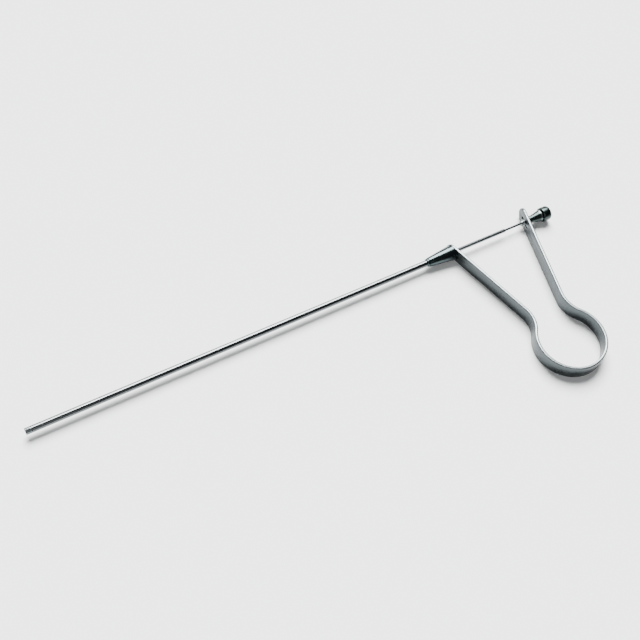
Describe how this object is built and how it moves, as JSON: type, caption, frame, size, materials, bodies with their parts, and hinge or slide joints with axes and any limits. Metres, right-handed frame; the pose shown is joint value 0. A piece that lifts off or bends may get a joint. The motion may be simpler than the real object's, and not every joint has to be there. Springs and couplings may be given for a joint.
{
  "type": "laparoscopic grasper",
  "caption": "Long thin tube instrument with a spring bow handle: squeezing the bow pushes a rod that opens small toothed jaws; a rear knob turns them.",
  "frame": {"origin": "on the shaft's axis at the hub's front face, where the 5 mm shaft leaves the handle", "axes": "+X along the shaft from the jaws to the knob; +Y away from the finger ring; +Z across the spring strip, up as the part lies on its side"},
  "size_m": [0.4442, 0.1484, 0.0128],
  "materials": {
    "shaft_titanium": "polished titanium",
    "hub_titanium": "polished titanium",
    "strip_titanium": "satin titanium",
    "knob_titanium": "polished titanium",
    "rod_titanium": "drawn titanium",
    "jaw_titanium": "ground titanium",
    "fastener_steel": "stainless",
    "guide_plastic": "white fluoroplastic",
    "seal_rubber": "matt silicone"
  },
  "bodies": {
    "handle": {"outer_tube": "shaft_titanium", "hub_nose": "hub_titanium", "hub": "hub_titanium", "hub_bush": "guide_plastic", "hub_seal": "seal_rubber", "guide_tube": "rod_titanium", "hub_screws": "fastener_steel", "bow_front": "strip_titanium"},
    "rear_leg": {"bow_rear": "strip_titanium"},
    "carriage": {"front_washer": "rod_titanium", "rear_washer": "rod_titanium"},
    "rod": {"drive_rod": "rod_titanium", "rod_spacers": "guide_plastic", "stop_collar": "rod_titanium", "knob": "knob_titanium", "knob_cap": "knob_titanium", "set_screws": "fastener_steel", "yoke": "rod_titanium", "yoke_pin": "fastener_steel", "jaw_pin": "fastener_steel", "jaw_spring": "fastener_steel"},
    "upper_jaw": {"upper_jaw": "jaw_titanium"},
    "lower_jaw": {"lower_jaw": "jaw_titanium"}
  },
  "joints": [
    {"name": "squeeze", "type": "hinge", "parent": "handle", "child": "rear_leg", "pos_m": [0.06106, -0.1351, 0], "axis": [0, 0, 1], "range_deg": [0, 4.2], "stiffness_Nm_per_rad": 12, "springref_deg": -1.15},
    {"name": "rod_slide", "type": "slide", "parent": "handle", "child": "carriage", "axis": [-1, 0, 0], "range_m": [0, 0.0105]},
    {"name": "knob_turn", "type": "hinge", "parent": "carriage", "child": "rod", "pos_m": [0, 0, 0], "axis": [1, 0, 0], "continuous": true},
    {"name": "upper_jaw_open", "type": "hinge", "parent": "rod", "child": "upper_jaw", "pos_m": [-0.309, 0, 0], "axis": [0, 0, -1], "range_deg": [0, 14.1]},
    {"name": "lower_jaw_open", "type": "hinge", "parent": "rod", "child": "lower_jaw", "pos_m": [-0.309, 0, 0], "axis": [0, 0, 1], "range_deg": [0, 14.1]}
  ],
  "couplings": [
    {"joint": "rod_slide", "follows": "squeeze", "m_per_rad": 0.14188},
    {"joint": "upper_jaw_open", "follows": "squeeze", "ratio": 3.3333},
    {"joint": "lower_jaw_open", "follows": "squeeze", "ratio": 3.3333}
  ]
}
